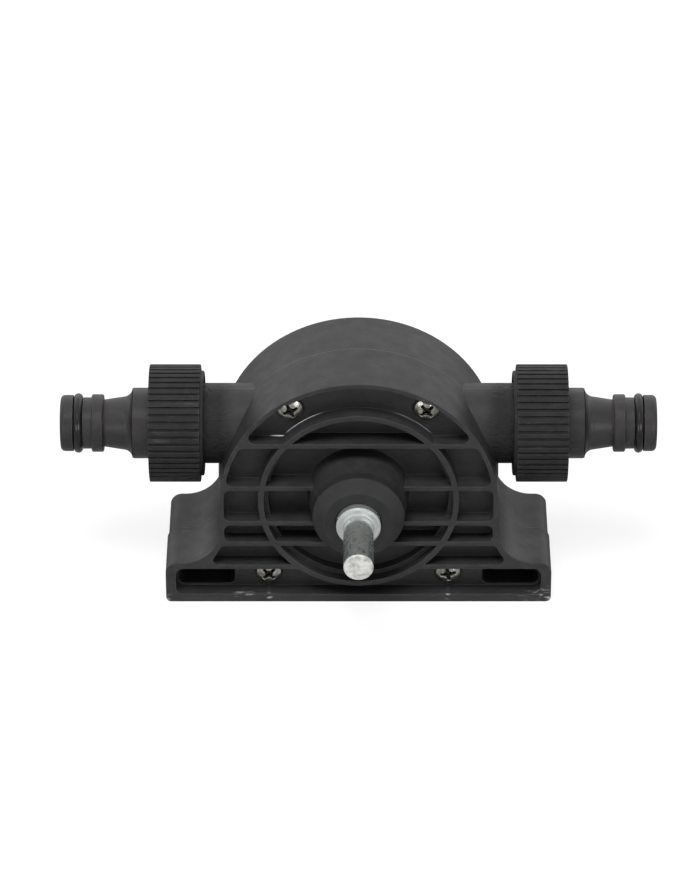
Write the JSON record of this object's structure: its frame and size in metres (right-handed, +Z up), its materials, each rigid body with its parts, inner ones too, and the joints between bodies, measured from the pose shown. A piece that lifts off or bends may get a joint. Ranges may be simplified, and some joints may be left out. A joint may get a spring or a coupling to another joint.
{
  "type": "drill powered pump",
  "caption": "Self-priming water pump with ribbed housing on a flat base, drill shank at the front and hose adaptors on side spouts.",
  "frame": {"origin": "centre of the flat underside of the base, below the shaft axis and in the spout plane", "axes": "+X to the right through the spouts seen from the drill, +Y from the drill to the rear cover, +Z up"},
  "size_m": [0.1598, 0.067, 0.0692],
  "materials": {
    "body_plastic": "moulded, fine satin",
    "nut_plastic": "moulded, satin",
    "adaptor_plastic": "moulded, satin",
    "seal_rubber": "smooth nitrile",
    "impeller_rubber": "moulded",
    "shaft_steel": "turned, zinc plated",
    "screw_steel": "bright plated",
    "spring_steel": "bright",
    "washer_steel": "stamped",
    "bearing_bronze": "sintered"
  },
  "bodies": {
    "pump": {"pump_body": "body_plastic", "rear_cover": "body_plastic", "cover_seal": "seal_rubber", "housing_screws": "screw_steel", "front_bushing": "bearing_bronze", "rear_bushing": "bearing_bronze", "shaft_seal": "seal_rubber", "seal_spring": "spring_steel", "thrust_washer": "washer_steel"},
    "rotor": {"drive_shaft": "shaft_steel", "drive_key": "shaft_steel", "impeller_hub": "bearing_bronze", "impeller": "impeller_rubber", "retaining_ring": "spring_steel"},
    "left_adaptor": {"left_hose_adaptor": "adaptor_plastic", "left_hose_o_ring": "seal_rubber", "left_sealing_washer": "seal_rubber"},
    "left_nut": {"left_union_nut": "nut_plastic"},
    "right_adaptor": {"right_hose_adaptor": "adaptor_plastic", "right_hose_o_ring": "seal_rubber", "right_sealing_washer": "seal_rubber"},
    "right_nut": {"right_union_nut": "nut_plastic"}
  },
  "joints": [
    {"name": "rotor_spin", "type": "hinge", "parent": "pump", "child": "rotor", "pos_m": [0, 0, 0.032], "axis": [0, 1, 0], "continuous": true, "deforming": ["impeller"]},
    {"name": "left_adaptor_slide", "type": "slide", "parent": "pump", "child": "left_adaptor", "axis": [-1, 0, 0], "range_m": [0, 0.00907]},
    {"name": "left_nut_turn", "type": "hinge", "parent": "left_adaptor", "child": "left_nut", "pos_m": [-0.049, 0, 0.046], "axis": [-1, 0, 0], "range_deg": [0, 1800]},
    {"name": "right_adaptor_slide", "type": "slide", "parent": "pump", "child": "right_adaptor", "axis": [1, 0, 0], "range_m": [0, 0.00907]},
    {"name": "right_nut_turn", "type": "hinge", "parent": "right_adaptor", "child": "right_nut", "pos_m": [0.049, 0, 0.046], "axis": [1, 0, 0], "range_deg": [0, 1800]}
  ],
  "couplings": [
    {"joint": "left_nut_turn", "follows": "left_adaptor_slide", "rad_per_m": 3463.7},
    {"joint": "right_nut_turn", "follows": "right_adaptor_slide", "rad_per_m": 3463.7}
  ]
}
